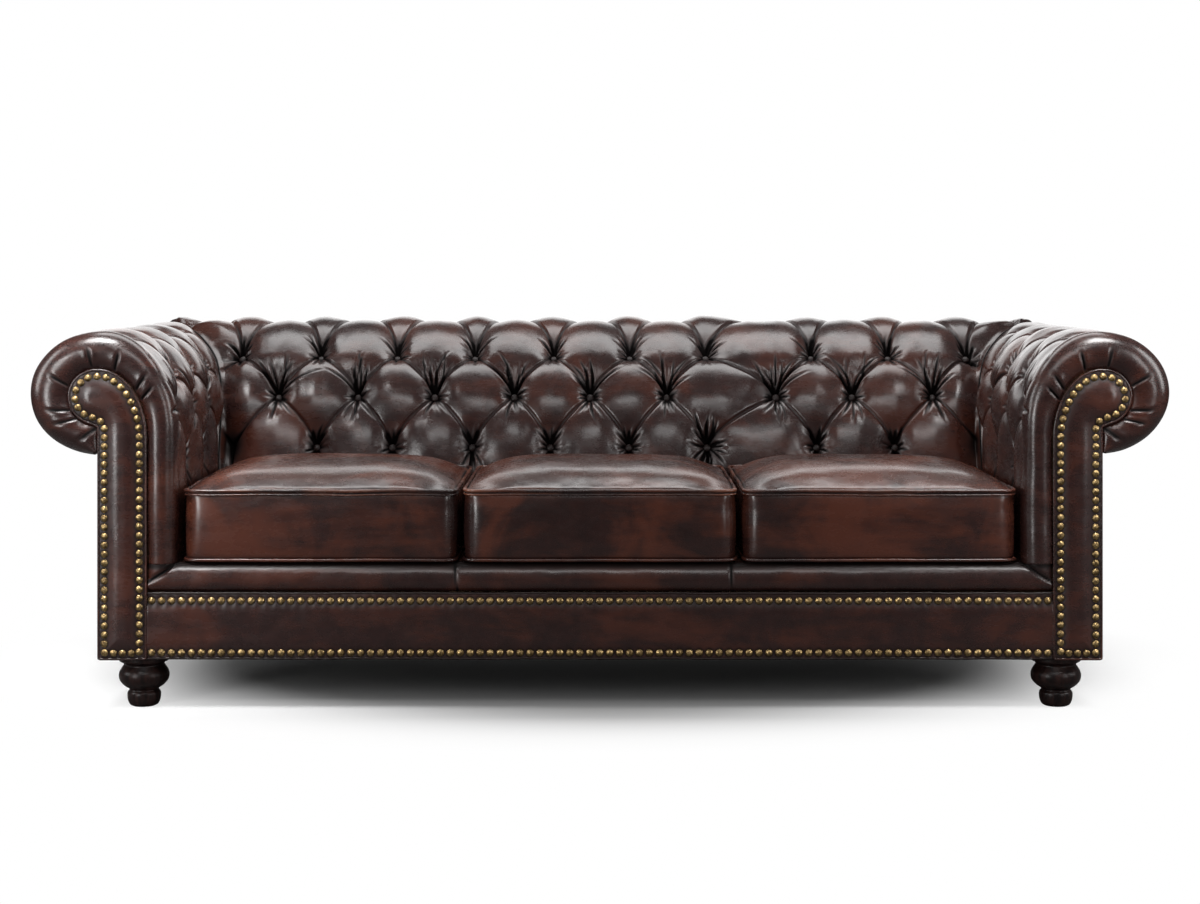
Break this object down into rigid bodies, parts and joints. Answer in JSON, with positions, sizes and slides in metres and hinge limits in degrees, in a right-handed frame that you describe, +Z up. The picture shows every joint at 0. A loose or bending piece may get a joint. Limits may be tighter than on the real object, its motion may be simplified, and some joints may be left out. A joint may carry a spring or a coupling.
{
  "type": "chesterfield sofa",
  "caption": "Low-backed rolled-arm chesterfield sofa in oxblood leather with deep diamond tufting, loose seat cushions, nail-trimmed scroll facings and turned feet.",
  "frame": {"origin": "centre of the bounding box on the floor under the feet", "axes": "+Z up, +X along the sofa to the viewer's right as seen from the front, -Y the front where one sits down"},
  "size_m": [2.241, 0.94, 0.752],
  "materials": {
    "leather": "hand-rubbed oxblood, glossy",
    "polished_wood": "near-black mahogany, gloss polish",
    "timber": "planed hardwood",
    "board": "fibre board",
    "nails": "antique brass",
    "steel": "plain spring steel",
    "foam": "open-cell seat foam",
    "dust_cloth": "black non-woven cloth"
  },
  "bodies": {
    "frame": {"back_board": "board", "back_pad": "leather", "back_top_rail": "timber", "dust_cover": "dust_cloth", "front_apron": "leather", "front_border": "leather", "front_left_corner_block": "timber", "front_left_foot": "polished_wood", "front_left_hanger_bolt": "steel", "front_right_corner_block": "timber", "front_right_foot": "polished_wood", "front_right_hanger_bolt": "steel", "front_seat_rail": "timber", "left_arm_board": "board", "left_arm_pad": "leather", "left_arm_rail": "timber", "left_back_strut": "timber", "left_facing": "leather", "left_facing_nail_band": "nails", "left_rear_post": "timber", "left_scroll_board": "timber", "left_seat_brace": "timber", "left_seat_rail": "timber", "lower_nail_band": "nails", "outside_back": "leather", "outside_left_arm": "leather", "outside_right_arm": "leather", "rear_left_corner_block": "timber", "rear_left_foot": "polished_wood", "rear_left_hanger_bolt": "steel", "rear_right_corner_block": "timber", "rear_right_foot": "polished_wood", "rear_right_hanger_bolt": "steel", "rear_seat_rail": "timber", "right_arm_board": "board", "right_arm_pad": "leather", "right_arm_rail": "timber", "right_back_strut": "timber", "right_facing": "leather", "right_facing_nail_band": "nails", "right_rear_post": "timber", "right_scroll_board": "timber", "right_seat_brace": "timber", "right_seat_rail": "timber", "seat_deck": "leather", "seat_spring_1": "steel", "seat_spring_2": "steel", "seat_spring_3": "steel", "seat_spring_4": "steel", "seat_spring_5": "steel", "seat_spring_6": "steel", "upper_nail_band": "nails"},
    "left_cushion": {"left_cushion_cover": "leather", "left_cushion_foam_core": "foam"},
    "centre_cushion": {"centre_cushion_cover": "leather", "centre_cushion_foam_core": "foam"},
    "right_cushion": {"right_cushion_cover": "leather", "right_cushion_foam_core": "foam"}
  },
  "joints": [
    {"name": "left_cushion_lift", "type": "slide", "parent": "frame", "child": "left_cushion", "axis": [0, 0, 1], "range_m": [0, 0.5]},
    {"name": "centre_cushion_lift", "type": "slide", "parent": "frame", "child": "centre_cushion", "axis": [0, 0, 1], "range_m": [0, 0.5]},
    {"name": "right_cushion_lift", "type": "slide", "parent": "frame", "child": "right_cushion", "axis": [0, 0, 1], "range_m": [0, 0.5]}
  ]
}
